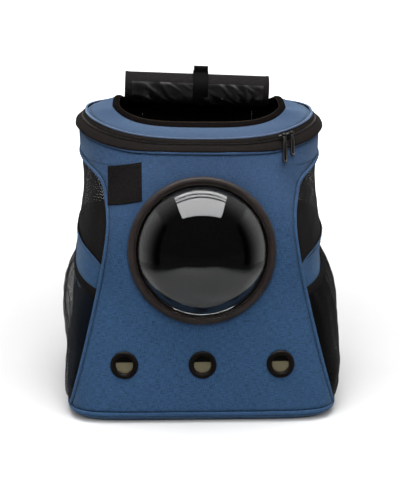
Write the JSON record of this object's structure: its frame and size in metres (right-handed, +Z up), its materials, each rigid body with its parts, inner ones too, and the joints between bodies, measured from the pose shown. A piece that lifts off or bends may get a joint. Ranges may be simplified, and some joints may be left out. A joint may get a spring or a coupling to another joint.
{
  "type": "pet carrier backpack",
  "caption": "Soft boxy backpack for carrying a small pet, with a clear bubble window, mesh sides, vents, zipped lid and an open mouth whose mesh cover is rolled back.",
  "frame": {"origin": "middle of the base, on the floor, under the middle of the whole", "axes": "+Z up, -Y out of the front with its bubble window, +X to the viewer's right"},
  "size_m": [0.373, 0.344, 0.4216],
  "materials": {
    "blue_cloth": "heathered woven polyester, matt",
    "piping_cloth": "woven cloth over cord",
    "black_cloth": "woven binding and webbing, matt",
    "black_mesh": "open knit mesh",
    "vent_mesh": "fine olive mesh",
    "black_plastic": "moulded, satin",
    "clear_plastic": "clear moulded acrylic, polished",
    "dark_metal": "dark plated zinc, semi-gloss"
  },
  "bodies": {
    "carrier": {"front_panel": "blue_cloth", "back_panel": "blue_cloth", "base_panel": "blue_cloth", "lid_hinge": "blue_cloth", "lid_panel": "blue_cloth", "side_panel_left": "blue_cloth", "side_collar_left": "blue_cloth", "side_panel_right": "blue_cloth", "side_collar_right": "blue_cloth", "base_piping": "piping_cloth", "top_piping": "piping_cloth", "lid_piping": "piping_cloth", "front_piping_left": "piping_cloth", "front_piping_right": "piping_cloth", "zip_tape_lower": "black_cloth", "zip_tape_upper": "black_cloth", "mouth_trim": "black_cloth", "roll_strap": "black_cloth", "label_patch": "black_cloth", "pocket_hem_left": "black_cloth", "shoulder_strap_left": "black_cloth", "strap_webbing_left": "black_cloth", "pocket_hem_right": "black_cloth", "shoulder_strap_right": "black_cloth", "strap_webbing_right": "black_cloth", "rolled_flap": "black_mesh", "side_mesh_left": "black_mesh", "side_pocket_left": "black_mesh", "side_mesh_right": "black_mesh", "side_pocket_right": "black_mesh", "vent_mesh_1": "vent_mesh", "vent_mesh_2": "vent_mesh", "vent_mesh_3": "vent_mesh", "dome_ring": "black_plastic", "zip_coil": "black_plastic", "vent_ring_1": "black_plastic", "vent_ring_2": "black_plastic", "vent_ring_3": "black_plastic", "strap_buckle_left": "black_plastic", "strap_buckle_right": "black_plastic", "dome": "clear_plastic", "zip_slider_left": "dark_metal", "zip_slider_right": "dark_metal"},
    "pull_left": {"zip_pull_left": "dark_metal"},
    "pull_right": {"zip_pull_right": "dark_metal"}
  },
  "joints": [
    {"name": "zip_pull_left_swing", "type": "hinge", "parent": "carrier", "child": "pull_left", "pos_m": [0.10561, -0.07074, 0.35909], "axis": [-0.8691, -0.4838, -0.1033], "range_deg": [0, 120]},
    {"name": "zip_pull_right_swing", "type": "hinge", "parent": "carrier", "child": "pull_right", "pos_m": [0.11546, -0.0645, 0.36046], "axis": [-0.8119, -0.5714, -0.1192], "range_deg": [0, 120]}
  ]
}
